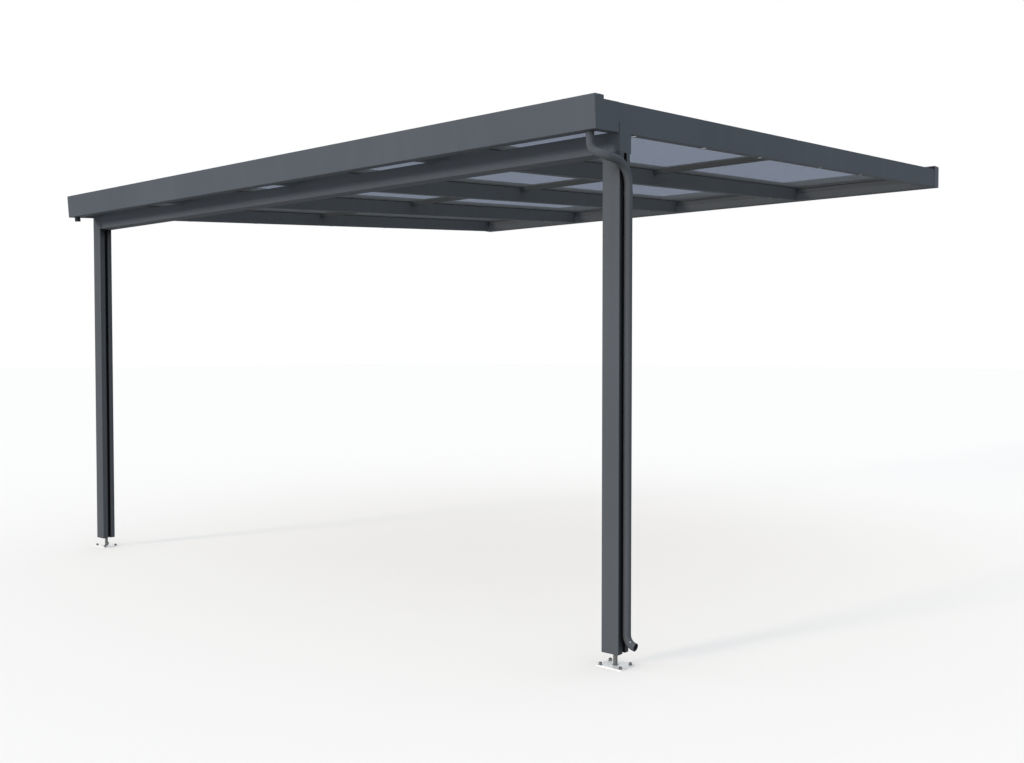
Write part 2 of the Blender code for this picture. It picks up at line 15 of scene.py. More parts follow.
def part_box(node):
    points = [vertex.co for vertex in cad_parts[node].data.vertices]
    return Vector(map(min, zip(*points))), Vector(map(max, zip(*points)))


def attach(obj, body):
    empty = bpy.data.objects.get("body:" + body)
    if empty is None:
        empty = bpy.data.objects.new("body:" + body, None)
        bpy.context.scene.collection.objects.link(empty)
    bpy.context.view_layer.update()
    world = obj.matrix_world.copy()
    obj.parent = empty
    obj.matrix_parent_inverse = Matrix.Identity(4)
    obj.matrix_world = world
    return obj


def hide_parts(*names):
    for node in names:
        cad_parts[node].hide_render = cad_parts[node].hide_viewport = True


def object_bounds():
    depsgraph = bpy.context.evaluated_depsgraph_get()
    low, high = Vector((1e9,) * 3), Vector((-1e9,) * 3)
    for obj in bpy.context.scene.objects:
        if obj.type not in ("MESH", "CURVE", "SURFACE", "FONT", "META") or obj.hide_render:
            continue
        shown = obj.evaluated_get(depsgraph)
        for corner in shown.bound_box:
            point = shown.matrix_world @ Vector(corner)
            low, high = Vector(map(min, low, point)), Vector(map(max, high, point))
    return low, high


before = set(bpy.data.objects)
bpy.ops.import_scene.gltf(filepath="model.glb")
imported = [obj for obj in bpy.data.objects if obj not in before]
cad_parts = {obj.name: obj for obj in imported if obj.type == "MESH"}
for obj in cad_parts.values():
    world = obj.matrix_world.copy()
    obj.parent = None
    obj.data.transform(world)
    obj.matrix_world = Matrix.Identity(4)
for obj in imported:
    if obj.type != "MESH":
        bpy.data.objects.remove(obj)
cad_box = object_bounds()

# Camera, at the photograph's place
CAMERA_PLACE = (4.7457, -8.0640, -1.3166)
CAMERA_TURN = math.radians(39.73)
CAMERA_TILT = math.radians(-1.69)
CAMERA_LENS = 35.95

# Places that are read from the frame
GROUND = cad_box[0][2]
HEADER_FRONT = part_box("header_beam")[0].y
HEADER_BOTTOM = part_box("header_beam")[0].z
LEDGER_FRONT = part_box("wall_ledger")[0].y
POST_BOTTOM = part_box("post_left")[0].z

# Sizes of the solids that the fittings sit on
WIDTH = 4.500
BAYS = 4
ROOF_RUN = 4.430
PITCH = math.radians(3.9)
HEADER_SETBACK = 0.180
ROOF_FRONT = (0, HEADER_FRONT - HEADER_SETBACK, -0.37881)
RAFTER_WIDTH = 0.050
SIDE_RAFTER_WIDTH = 0.045
PANE_BOTTOM = 0.1000
PANE_TOP = 0.1080
CAP_TOP = 0.1300
UPSTAND = 0.004
END_PLATE = 0.003
GUTTER_DEPTH = 0.068
PANE_FRONT = 0.046
PANE_JOINT = 0.004
MID_U = (GUTTER_DEPTH + ROOF_RUN) / 2
GROOVE_LOW = 0.0311
GROOVE_HIGH = 0.0356
SLIT_LEAD = 0.005
SLIT_U = HEADER_SETBACK / math.cos(PITCH) - SLIT_LEAD
POST = 0.090
POST_X = WIDTH / 2 - POST / 2
POST_Y = HEADER_FRONT + POST / 2
SLOT_MOUTH = 0.021
SLOT_DEPTH = 0.020
FOOT_PLATE = 0.005
FOOT_TOP = GROUND + FOOT_PLATE
FOOT_HOLE_X = 0.107
FOOT_HOLE_Y = 0.080
STUD_RADIUS = 0.0095

# Downpipe, along the same route as its solids
PIPE_RADIUS = 0.0185
PIPE_WALL = 0.0016
PIPE_X = WIDTH / 2 + 0.0005 + PIPE_RADIUS
PIPE_Y = POST_Y - 0.005
OUTLET_X = WIDTH / 2 - 0.055
PIPE_DROP = 0.078
PIPE_CROSS_DROP = 0.034
PIPE_CROSS_BACK = 0.014
PIPE_BACK_FALL = 0.006
PIPE_BEND = 0.050
PIPE_SWEEP = 0.100
PIPE_JOINT_TOP = HEADER_BOTTOM - 0.170
PIPE_JOINT_BOTTOM = POST_BOTTOM + 0.0955
SHOE_BEND = 0.050
SHOE_ANGLE = math.radians(78)
SHOE_TAIL = 0.0065
PIPE_SIDES = 40
SOCKET_LENGTH = 0.024
SOCKET_SWELL = 0.0011
JOINT_GAP = 0.0003
RIVET_ALONG = math.radians(48)
RIVET_ROUND = math.radians(138)

# Small fittings
SIDE_LIGHTS = (0.33, 0.96, 1.57, 2.37, 3.01)
INNER_LIGHTS = (4.00,)
LIGHT_RADIUS = 0.0170
NUT_FLATS = 0.0145
NUT_HEIGHT = 0.0075
WASHER_RADIUS = 0.0088
WASHER_HEIGHT = 0.0016
BOLT_RADIUS = 0.005
BOLT_END = 0.0022
THREAD_PITCH = 0.0025
THREAD_DEPTH = 0.0006
CAP_SCREWS = 12
SEAL_WIDTH = 0.0035
SEAL_HEIGHT = 0.003
HAIR = 0.0001  # Keeps two faces out of one plane

ROOF_PLACE = Matrix.Translation(ROOF_FRONT) @ Matrix.Rotation(PITCH, 4, "X")
SHARP = math.radians(32)
SIDES = (("left", -1), ("right", 1))
CORNERS = ((-1, -1), (1, -1), (1, 1), (-1, 1))


def node(tree, kind, values=None, **settings):
    """A new shader node, with its settings and its inputs' values."""
    made = tree.nodes.new(kind)
    for key, value in settings.items():
        setattr(made, key, value)
    for key, value in (values or {}).items():
        made.inputs[key].default_value = value
    return made


def feed(tree, value, socket):
    """Sets a socket to a plain number or (r, g, b), or links another socket to it."""
    if isinstance(value, tuple):
        socket.default_value = (*value, 1)
    elif isinstance(value, (int, float)):
        socket.default_value = value
    else:
        tree.links.new(value, socket)


def maths(tree, operation, first, second):
    """The result of a sum on two values, each a socket or a plain number."""
    made = node(tree, "ShaderNodeMath", operation=operation)
    feed(tree, first, made.inputs[0])
    feed(tree, second, made.inputs[1])
    return made.outputs[0]


def blend_colour(tree, factor, first, second):
    """Mixes two colours, each a socket or a plain (r, g, b)."""
    made = node(tree, "ShaderNodeMix", data_type="RGBA")
    tree.links.new(factor, made.inputs["Factor"])
    for label, value in (("A", first), ("B", second)):
        socket = [s for s in made.inputs if s.name == label and s.type == "RGBA"][0]
        feed(tree, value, socket)
    return [s for s in made.outputs if s.type == "RGBA"][0]


def blend_shaders(tree, factor, first, second, output):
    """Mixes two shaders into the output node of a material or the world."""
    made = node(tree, "ShaderNodeMixShader")
    tree.links.new(factor, made.inputs["Fac"])
    tree.links.new(first.outputs[0], made.inputs[1])
    tree.links.new(second.outputs[0], made.inputs[2])
    tree.links.new(made.outputs[0], tree.nodes[output].inputs["Surface"])


def set_camera():
    """The camera, where the photograph was taken from."""
    lens = bpy.data.cameras.new("view")
    lens.lens = CAMERA_LENS
    lens.sensor_width = 36
    lens.clip_end = 200
    camera = bpy.data.objects.new("view", lens)
    camera.location = CAMERA_PLACE
    camera.rotation_euler = (math.pi / 2 + CAMERA_TILT, 0, CAMERA_TURN)
    bpy.context.scene.collection.objects.link(camera)
    bpy.context.scene.camera = camera


# Light and floor

KEY_COLOUR = (1.0, 0.90, 0.80)
KEY_STRENGTH = 1.95
KEY_WIDTH = math.radians(11)
KEY_WAY = Vector((-0.30, -0.92, 0.22))
FILL_COLOUR = (1.0, 1.0, 1.0)
FILL_STRENGTH = 0.45
FILL_WIDTH = math.radians(30)
FILL_WAY = Vector((0.15, -1.0, -0.22))
SKY_COLOUR = (0.80, 0.91, 1.0)
SKY_STRENGTH = 1.13
FLOOR_SEEN = (0.67, 0.61, 0.57)
FLOOR_BOUNCE = (0.410, 0.375, 0.330)
FLOOR_GLOW = 0.28
FLOOR_SIZE = 160


def seen_directly(tree):
    """1 for rays from the camera and for those that metal and glass send on, otherwise 0."""
    path = node(tree, "ShaderNodeLightPath")
    seen = maths(tree, "MAXIMUM", path.outputs["Is Camera Ray"], path.outputs["Is Glossy Ray"])
    return maths(tree, "MAXIMUM", seen, path.outputs["Is Transmission Ray"])


def set_world():
    """A pale blue sky that lights the object, and is white where it is seen directly."""
    world = bpy.data.worlds.new("studio")
    bpy.context.scene.world = world
    world.use_nodes = True
    tree = world.node_tree
    sky = tree.nodes["Background"]
    sky.inputs["Color"].default_value = (*SKY_COLOUR, 1)
    sky.inputs["Strength"].default_value = SKY_STRENGTH
    white = node(tree, "ShaderNodeBackground", {"Color": (1, 1, 1, 1), "Strength": 1.0})
    blend_shaders(tree, seen_directly(tree), sky, white, "World Output")


def far_light(name, colour, strength, width, way):
    """Soft light that comes the same way everywhere, as from a large lamp far off."""
    light = bpy.data.lights.new(name, "SUN")
    light.color = colour
    light.energy = strength
    light.angle = width
    lamp = bpy.data.objects.new(name, light)
    lamp.rotation_euler = way.to_track_quat("Z", "Y").to_euler()
    bpy.context.scene.collection.objects.link(lamp)
    return lamp


def pass_through(lamp, ground):
    """Lets a low lamp shine past the floor, which it neither lights nor is stopped by."""
    left_out = bpy.data.collections.new("not_for_" + lamp.name)
    left_out.objects.link(ground)
    left_out.collection_objects[0].light_linking.link_state = "EXCLUDE"
    lamp.light_linking.receiver_collection = left_out
    lamp.light_linking.blocker_collection = left_out


def pale_floor():
    """A matt floor that lights the object from below, and looks white but for the object's shadow."""
    made, tree, matt = new_material("pale_floor")
    seen = seen_directly(tree)
    tree.links.new(blend_colour(tree, seen, FLOOR_BOUNCE, FLOOR_SEEN), matt.inputs["Base Color"])
    matt.inputs["Roughness"].default_value = 1.0
    matt.inputs["Specular IOR Level"].default_value = 0.0
    glow = node(tree, "ShaderNodeEmission", {"Color": (1, 1, 1, 1)})
    tree.links.new(maths(tree, "MULTIPLY", seen, FLOOR_GLOW), glow.inputs["Strength"])
    both = node(tree, "ShaderNodeAddShader")
    tree.links.new(matt.outputs[0], both.inputs[0])
    tree.links.new(glow.outputs[0], both.inputs[1])
    tree.links.new(both.outputs[0], tree.nodes["Material Output"].inputs["Surface"])
    return made


def floor():
    """The floor, just under the feet."""
    bpy.ops.mesh.primitive_plane_add(size=FLOOR_SIZE, location=(0, 0, GROUND - 0.001))
    ground = bpy.context.object
    ground.name = "studio_floor"
    ground.data.materials.append(pale_floor())
    return ground


def lamps(ground):
    """A low sun from the front, and a broad fill that comes up from the open side."""
    far_light("key", KEY_COLOUR, KEY_STRENGTH, KEY_WIDTH, KEY_WAY)
    fill = far_light("fill", FILL_COLOUR, FILL_STRENGTH, FILL_WIDTH, FILL_WAY)
    pass_through(fill, ground)


# Shared effects, each a node group


def new_group(name, inputs, outputs):
    """An empty shader group with named inputs (name, kind, value) and outputs (name, kind)."""
    tree = bpy.data.node_groups.new(name, "ShaderNodeTree")
    for label, kind, value in inputs:
        socket = tree.interface.new_socket(name=label, in_out="INPUT", socket_type=kind)
        socket.default_value = value
    for label, kind in outputs:
        tree.interface.new_socket(name=label, in_out="OUTPUT", socket_type=kind)
    return tree, tree.nodes.new("NodeGroupInput"), tree.nodes.new("NodeGroupOutput")


def spread(tree, value, low, high, start=0.0, end=1.0):
    """Remaps a value from low..high to start..end, clamped."""
    limits = {"From Min": low, "From Max": high, "To Min": start, "To Max": end}
    made = node(tree, "ShaderNodeMapRange", limits)
    tree.links.new(value, made.inputs["Value"])
    return made.outputs["Result"]


def noise(tree, place, scale, detail=2.0, roughness=0.5):
    """Soft noise, whose scale is a socket or a plain number."""
    made = node(tree, "ShaderNodeTexNoise", {"Detail": detail, "Roughness": roughness})
    feed(tree, scale, made.inputs["Scale"])
    tree.links.new(place, made.inputs["Vector"])
    return made.outputs["Fac"]


def own_place(tree):
    """Where a point lies, in its own piece's axes."""
    return node(tree, "ShaderNodeTexCoord").outputs["Object"]


def upward(tree):
    """How far a face looks up: 1 up, 0 to the side, -1 down."""
    face = node(tree, "ShaderNodeNewGeometry")
    axes = node(tree, "ShaderNodeSeparateXYZ")
    tree.links.new(face.outputs["True Normal"], axes.inputs[0])
    return axes.outputs["Z"]


def make_coat_grain():
    """Powder coat's orange peel as a height, and its slow cloudiness as a tone."""
    tree, given, out = new_group(
        "coat_grain",
        [("Grain Scale", "NodeSocketFloat", 900.0)],
        [("Height", "NodeSocketFloat"), ("Tone", "NodeSocketFloat")],
    )
    place = own_place(tree)
    peel = noise(tree, place, given.outputs["Grain Scale"], detail=1.5, roughness=0.4)
    tree.links.new(peel, out.inputs["Height"])
    cloud = noise(tree, place, scale=1.7, detail=3.0)
    tree.links.new(spread(tree, cloud, 0.3, 0.7), out.inputs["Tone"])
    return tree


def make_edge_wear_and_highlight():
    """A mask of the outer edges, where a bevel's normal turns away from the face. The coats paint these
    edges lighter, partly as worn coat and partly as a painted highlight.
    """
    tree, given, out = new_group(
        "edge_wear_and_highlight",
        [("Reach", "NodeSocketFloat", 0.0015)],
        [("Mask", "NodeSocketFloat")],
    )
    round_off = node(tree, "ShaderNodeBevel", samples=4)
    tree.links.new(given.outputs["Reach"], round_off.inputs["Radius"])
    face = node(tree, "ShaderNodeNewGeometry")
    turned = node(tree, "ShaderNodeVectorMath", operation="DOT_PRODUCT")
    tree.links.new(round_off.outputs["Normal"], turned.inputs[0])
    tree.links.new(face.outputs["Normal"], turned.inputs[1])
    away = spread(tree, maths(tree, "SUBTRACT", 1.0, turned.outputs["Value"]), 0.04, 0.30)
    patchy = spread(tree, noise(tree, own_place(tree), scale=60.0, detail=3.0), 0.35, 0.65)
    tree.links.new(maths(tree, "MULTIPLY", away, patchy), out.inputs["Mask"])
    return tree


def make_settled_dust():
    """A mask of dust in patches on faces that look up, and the whole of those faces beside it."""
    tree, given, out = new_group(
        "settled_dust",
        [("Patch Scale", "NodeSocketFloat", 4.0)],
        [("Mask", "NodeSocketFloat"), ("Upper Side", "NodeSocketFloat")],
    )
    up = spread(tree, upward(tree), 0.3, 0.95)
    patches = noise(tree, own_place(tree), given.outputs["Patch Scale"], detail=5.0, roughness=0.6)
    thin = spread(tree, patches, 0.35, 0.75)
    tree.links.new(maths(tree, "MULTIPLY", up, thin), out.inputs["Mask"])
    tree.links.new(up, out.inputs["Upper Side"])
    return tree


def make_rain_marks():
    """Faint upright streaks where water has dried on standing faces."""
    tree, given, out = new_group(
        "rain_marks",
        [("Streak Scale", "NodeSocketFloat", 9.0)],
        [("Mask", "NodeSocketFloat")],
    )
    squeeze = node(tree, "ShaderNodeMapping", {"Scale": (1.0, 1.0, 0.06)})
    tree.links.new(own_place(tree), squeeze.inputs["Vector"])
    drawn_out = squeeze.outputs["Vector"]
    streaks = noise(tree, drawn_out, given.outputs["Streak Scale"], detail=4.0, roughness=0.55)
    steep = maths(tree, "ABSOLUTE", upward(tree), 0)
    standing = spread(tree, steep, 0.2, 0.6, start=1.0, end=0.0)
    thin = spread(tree, streaks, 0.52, 0.78)
    tree.links.new(maths(tree, "MULTIPLY", standing, thin), out.inputs["Mask"])
    return tree


def make_gap_shade():
    """A mask of faces that lie close to another piece, where painted shade stands in for the shade that
    falls there.
    """
    tree, given, out = new_group(
        "painted_gap_shade",
        [("Reach", "NodeSocketFloat", 0.08)],
        [("Mask", "NodeSocketFloat")],
    )
    near = node(tree, "ShaderNodeAmbientOcclusion", samples=6)
    tree.links.new(given.outputs["Reach"], near.inputs["Distance"])
    close = spread(tree, near.outputs["AO"], 0.66, 0.93, start=1.0, end=0.0)
    tree.links.new(close, out.inputs["Mask"])
    return tree


COAT_GRAIN = make_coat_grain()
EDGE_WEAR_AND_HIGHLIGHT = make_edge_wear_and_highlight()
SETTLED_DUST = make_settled_dust()
RAIN_MARKS = make_rain_marks()
GAP_SHADE = make_gap_shade()


# Finishes

COAT_ROUGHNESS = 0.68
COAT_GLOSS = 0.03
COAT_STREAKS = 0.10
COAT_EDGE_WEAR_AND_HIGHLIGHT = 0.10
COAT_DUST = 0.20
COAT_DUST_COLOUR = (0.34, 0.33, 0.30)
# Near black, for painted shade in narrow gaps between pieces
GAP_SHADE_COLOUR = (0.004, 0.004, 0.005)
GLASS_TONES = ((0.257, 0.277, 0.297), (0.273, 0.293, 0.313))
GLASS_DUST = 0.35
GLASS_DUST_COLOUR = (0.50, 0.49, 0.46)
GLASS_BODY = 0.564
GLASS_LIGHT = 0.60
GLASS_TINT = (0.775, 0.842, 1.0)
GLASS_DAYLIGHT = (1.0, 0.97, 0.92)


def new_material(name):
    """A new material, its node tree and its shader."""
    made = bpy.data.materials.new(name)
    made.use_nodes = True
    return made, made.node_tree, made.node_tree.nodes["Principled BSDF"]


def effect(tree, group, values=None):
    """A shared effect, placed in a material with values of its own."""
    return node(tree, "ShaderNodeGroup", values, node_tree=group)


def share_of(tree, placed, share):
    """A placed effect's mask, held back to a share."""
    return maths(tree, "MULTIPLY", placed.outputs["Mask"], share)


def shade(colour, share):
    """A colour made darker or lighter, white at most."""
    return tuple(min(1, c * share) for c in colour)


def rough_up(tree, shader, height, strength, distance):
    """Gives a shader a fine relief from a height."""
    bump = node(tree, "ShaderNodeBump", {"Strength": strength, "Distance": distance})
    tree.links.new(height, bump.inputs["Height"])
    tree.links.new(bump.outputs["Normal"], shader.inputs["Normal"])


def painted(name, colour, roughness=COAT_ROUGHNESS, gap_shade=0.0):
    """Powder-coated aluminium: fine peel, faint clouds and rain marks, lighter edges that are part wear and
    part painted highlight, dust where it is flat.

    gap_shade is the share of painted shade, near black, that is laid where another piece lies close.
    """
    made, tree, shader = new_material(name)
    grain = effect(tree, COAT_GRAIN)
    tone = blend_colour(tree, grain.outputs["Tone"], shade(colour, 0.95), shade(colour, 1.05))
    streaks = share_of(tree, effect(tree, RAIN_MARKS), COAT_STREAKS)
    tone = blend_colour(tree, streaks, tone, shade(colour, 1.7))
    # Lighter edges: partly worn coat, partly a painted highlight where edges catch the light
    worn_and_lit = share_of(tree, effect(tree, EDGE_WEAR_AND_HIGHLIGHT), COAT_EDGE_WEAR_AND_HIGHLIGHT)
    tone = blend_colour(tree, worn_and_lit, tone, shade(colour, 2.2))
    dusty = share_of(tree, effect(tree, SETTLED_DUST), COAT_DUST)
    tone = blend_colour(tree, dusty, tone, COAT_DUST_COLOUR)
    # Painted shade: near black laid in the gaps close to other pieces, where shade falls
    if gap_shade:
        gap_shaded = share_of(tree, effect(tree, GAP_SHADE), gap_shade)
        tone = blend_colour(tree, gap_shaded, tone, GAP_SHADE_COLOUR)
    tree.links.new(tone, shader.inputs["Base Color"])
    matt = maths(tree, "ADD", maths(tree, "MULTIPLY", dusty, 0.6), roughness)
    cloudy = maths(tree, "MULTIPLY", grain.outputs["Tone"], 0.05)
    tree.links.new(maths(tree, "ADD", matt, cloudy), shader.inputs["Roughness"])
    shader.inputs["Specular IOR Level"].default_value = COAT_GLOSS
    rough_up(tree, shader, grain.outputs["Height"], strength=0.25, distance=0.0002)
    return made


def tinted_glass():
    """Grey-blue safety glass under a thin film of dust. It holds back less light than sight."""
    made, tree, shader = new_material("grey_glass")
    place = own_place(tree)
    cloud = spread(tree, noise(tree, place, scale=0.8), 0.3, 0.7)
    film = effect(tree, SETTLED_DUST, {"Patch Scale": 2.5})
    dusty = share_of(tree, film, GLASS_DUST)
    tone = blend_colour(tree, dusty, blend_colour(tree, cloud, *GLASS_TONES), GLASS_DUST_COLOUR)
    tree.links.new(tone, shader.inputs["Base Color"])
    dulled = maths(tree, "MULTIPLY", dusty, 0.3)
    tree.links.new(maths(tree, "ADD", dulled, 0.25), shader.inputs["Roughness"])
    shader.inputs["Specular IOR Level"].default_value = 0.0
    washed = maths(tree, "SUBTRACT", film.outputs["Upper Side"], film.outputs["Mask"])
    tree.links.new(maths(tree, "MULTIPLY", washed, 0.9), shader.inputs["Coat Weight"])
    shader.inputs["Coat Roughness"].default_value = 0.06
    ripple = noise(tree, place, scale=3.0, detail=1.0)
    rough_up(tree, shader, ripple, strength=0.05, distance=0.002)
    path = node(tree, "ShaderNodeLightPath")
    passing = maths(tree, "MAXIMUM", path.outputs["Is Shadow Ray"], path.outputs["Is Diffuse Ray"])
    share = maths(tree, "SUBTRACT", 1.0, maths(tree, "MULTIPLY", passing, GLASS_LIGHT))
    cover = maths(tree, "MULTIPLY", maths(tree, "ADD", dulled, GLASS_BODY), share)
    clear = node(tree, "ShaderNodeBsdfTransparent")
    tree.links.new(blend_colour(tree, passing, GLASS_TINT, GLASS_DAYLIGHT), clear.inputs["Color"])
    blend_shaders(tree, cover, clear, shader, "Material Output")
    return made


def zinc(name, colour, metallic, roughness, grain_scale=70.0):
    """Galvanised steel: crystal spangle in tone and roughness, with duller patches."""
    made, tree, shader = new_material(name)
    place = own_place(tree)
    crystals = node(tree, "ShaderNodeTexVoronoi", {"Scale": grain_scale, "Randomness": 1.0})
    tree.links.new(place, crystals.inputs["Vector"])
    spangle = node(tree, "ShaderNodeSeparateColor")
    tree.links.new(crystals.outputs["Color"], spangle.inputs[0])
    tone = blend_colour(tree, spangle.outputs[0], shade(colour, 0.90), colour)
    dull = spread(tree, noise(tree, place, scale=25.0, detail=4.0), 0.45, 0.75)
    tone = blend_colour(tree, maths(tree, "MULTIPLY", dull, 0.25), tone, shade(colour, 0.75))
    tree.links.new(tone, shader.inputs["Base Color"])
    shader.inputs["Metallic"].default_value = metallic
    rougher = spread(tree, spangle.outputs[1], 0.0, 1.0, roughness, roughness + 0.12)
    tree.links.new(rougher, shader.inputs["Roughness"])
    rough_up(tree, shader, spangle.outputs[0], strength=0.10, distance=0.0001)
    return made


def rubber(name, colour):
    """Black sealing rubber, matt and a little chalky."""
    made, tree, shader = new_material(name)
    place = own_place(tree)
    chalk = spread(tree, noise(tree, place, scale=120.0, detail=3.0), 0.45, 0.8)
    tone = blend_colour(tree, maths(tree, "MULTIPLY", chalk, 0.3), colour, shade(colour, 3))
    tree.links.new(tone, shader.inputs["Base Color"])
    shader.inputs["Roughness"].default_value = 0.85
    shader.inputs["Specular IOR Level"].default_value = 0.2
    grain = noise(tree, place, scale=1500.0, detail=1.0)
    rough_up(tree, shader, grain, strength=0.2, distance=0.0002)
    return made


def frosted_lens():
    """The lights' moulded cover, milky and finely grained."""
    made, tree, shader = new_material("frosted_lens")
    place = own_place(tree)
    milk = spread(tree, noise(tree, place, scale=300.0), 0.3, 0.7)
    tone = blend_colour(tree, milk, (0.72, 0.72, 0.71), (0.80, 0.80, 0.79))
    tree.links.new(tone, shader.inputs["Base Color"])
    shader.inputs["Roughness"].default_value = 0.35
    grain = noise(tree, place, scale=900.0, detail=1.0)
    rough_up(tree, shader, grain, strength=0.3, distance=0.0002)
    return made


COAT = painted("anthracite_coat", (0.077, 0.0855, 0.101))
# Posts and pipe take painted shade where another piece lies close, as between post and pipe
POST_COAT = painted("post_coat", (0.078, 0.084, 0.095), gap_shade=0.9)
PIPE_COAT = painted("pipe_coat", (0.078, 0.084, 0.095), gap_shade=0.5)
# The cross-bars take a darker copy of the coat: painted shade for their place under the roof
SHADED_BAR_COAT = painted("cross_bar_shaded_coat", (0.047, 0.052, 0.058))
# The ledger's end caps take a lighter, bluer copy of the coat: painted light
LIT_CAP_COAT = painted("end_cap_lit_coat", (0.0985, 0.1025, 0.1275))
# Dark trim for the gutter outlets, also used as painted shade inside the downpipe
TRIM_AND_INNER_SHADE = painted("dark_trim_and_inner_shade", (0.034, 0.037, 0.042), roughness=0.70)
GLASS = tinted_glass()
PLATE = zinc("bright_zinc", (0.98, 0.97, 0.95), metallic=0.45, roughness=0.34)
STEEL = zinc("dull_zinc", (0.17, 0.17, 0.175), metallic=0.60, roughness=0.45, grain_scale=160.0)
RUBBER = rubber("black_rubber", (0.006, 0.006, 0.007))
LENS = frosted_lens()

# Finishes by the start of a solid's name. The first that fits holds, and all other solids take COAT.
FINISHES = (
    ("pane_", GLASS),
    ("foot_", PLATE),
    ("post_insert", STEEL),
    ("post_", POST_COAT),
    ("gutter_outlet", TRIM_AND_INNER_SHADE),
    ("crossbar", SHADED_BAR_COAT),
    ("ledger_end_cap", LIT_CAP_COAT),
)


def finish_of(name):
    """The finish of a solid, by its name."""
    for start, finish in FINISHES:
        if name.startswith(start):
            return finish
    return COAT


def dress_solids():
    """Gives every solid of the frame its finish."""
    for name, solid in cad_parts.items():
        solid.data.materials.clear()
        solid.data.materials.append(finish_of(name))


# Making of meshes


def add_piece(name, work, finish, hides=()):
    """Turns a bmesh into a piece that rides on the frame, and stands for the solids in hides."""
    bmesh.ops.recalc_face_normals(work, faces=work.faces)
    mesh = bpy.data.meshes.new(name)
    work.to_mesh(mesh)
    work.free()
    mesh.shade_smooth()
    mesh.set_sharp_from_angle(angle=SHARP)
    mesh.materials.append(finish)
    piece = bpy.data.objects.new(name, mesh)
    bpy.context.scene.collection.objects.link(piece)
    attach(piece, "root")
    if hides:
        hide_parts(*hides)
    return piece


def ring(work, place, radius, height, sides):
    """A ring of points about the place's Z axis, or one point where the radius is 0."""
    if radius == 0:
        return [work.verts.new(place @ Vector((0, 0, height)))]
    points = []
    for k in range(sides):
        angle = 2 * math.pi * k / sides
        spot = Vector((radius * math.cos(angle), radius * math.sin(angle), height))
        points.append(work.verts.new(place @ spot))
    return points


def join_rings(work, first, second):
    """Faces between two rings of as many points, or between a ring and one point."""
    count = max(len(first), len(second))
    for k in range(count):
        after = (k + 1) % count
        if len(first) == 1:
            work.faces.new((first[0], second[after], second[k]))
        elif len(second) == 1:
            work.faces.new((first[k], first[after], second[0]))
        else:
            work.faces.new((first[k], first[after], second[after], second[k]))


def turn(work, place, profile, sides=32, closed=False):
    """A profile of (radius, height) points turned about the place's Z axis."""
    rings = [ring(work, place, radius, height, sides) for radius, height in profile]
    for first, second in zip(rings, rings[1:]):
        join_rings(work, first, second)
    if closed:
        join_rings(work, rings[-1], rings[0])


def hexagon_reach(angle, flats):
    """Distance from a hexagon's middle to its side at an angle."""
    sector = math.pi / 3
    return flats / 2 / math.cos(angle % sector - sector / 2)


def nut(work, place, flats, height, bore, sides=36):
    """A hexagon nut with chamfered corners, standing on the place's XY plane."""
    face = flats / 2 * 0.94
    slope = math.tan(math.radians(30))
    low_rim = []
    high_rim = []
    for k in range(sides):
        angle = 2 * math.pi * k / sides
        reach = hexagon_reach(angle, flats)
        drop = (reach - face) * slope
        x = reach * math.cos(angle)
        y = reach * math.sin(angle)
        low_rim.append(work.verts.new(place @ Vector((x, y, drop))))
        high_rim.append(work.verts.new(place @ Vector((x, y, height - drop))))
    rings = [
        ring(work, place, bore, 0, sides),
        ring(work, place, face, 0, sides),
        low_rim,
        high_rim,
        ring(work, place, face, height, sides),
        ring(work, place, bore, height, sides),
    ]
    for first, second in zip(rings, rings[1:] + rings[:1]):
        join_rings(work, first, second)


def washer(work, place, outer, inner, height):
    """A flat washer with a small chamfer round its upper edge."""
    lip = height * 0.25
    profile = [
        (inner, 0),
        (inner, height),
        (outer - lip, height),
        (outer, height - lip),
        (outer, 0),
    ]
    turn(work, place, profile, closed=True)


def bolt_end(work, place, radius, low, high):
    """The threaded end of a bolt, with a rounded tip and three turns of thread that show."""
    tip = 0.0008
    root = radius * 0.88
    profile = [(0, low), (radius, low)]
    turns = 3
    step = (high - tip - low) / turns
    for k in range(turns):
        base = low + k * step
        profile += [(radius, base + step * 0.35), (root, base + step * 0.65), (radius, base + step)]
    profile += [(radius - tip, high), (0, high)]
    turn(work, place, profile, sides=20)


def thread(work, place, radius, low, high):
    """A screw thread's ridge, wound on a rod from one height to another."""
    steps = 28
    turns = (high - low) / THREAD_PITCH - 1
    sunk = -0.0002
    section = ((sunk, 0.12), (THREAD_DEPTH, 0.40), (THREAD_DEPTH, 0.60), (sunk, 0.88))
    rows = []
    for k in range(int(turns * steps) + 1):
        angle = 2 * math.pi * k / steps
        base = low + THREAD_PITCH * k / steps
        row = []
        for out, share in section:
            reach = radius + out
            z = base + share * THREAD_PITCH
            spot = Vector((reach * math.cos(angle), reach * math.sin(angle), z))
            row.append(work.verts.new(place @ spot))
        rows.append(row)
    for first, second in zip(rows, rows[1:]):
        join_rings(work, first, second)
    work.faces.new(rows[0])
    work.faces.new(rows[-1][::-1])


def run(work, outline, start, end, spot):
    """An outline drawn out between two stations. spot turns (a, b, station) into a place."""
    near = [work.verts.new(spot(a, b, start)) for a, b in outline]
    far = [work.verts.new(spot(a, b, end)) for a, b in outline]
    join_rings(work, near, far)
    work.faces.new(near[::-1])
    work.faces.new(far)


def up_the_slope(x, n, u):
    """A spot for outlines drawn out along the roof's fall."""
    return ROOF_PLACE @ Vector((x, u, n))


def across_the_roof(u, n, x):
    """A spot for outlines drawn out along the roof's width."""
    return ROOF_PLACE @ Vector((x, u, n))


def across_the_wall(y, z, x):
    """A spot for outlines drawn out along the wall."""
    return Vector((x, y, z))


def along_the_post(x, y, z):
    """A spot for outlines drawn out upwards."""
    return Vector((x, y, z))


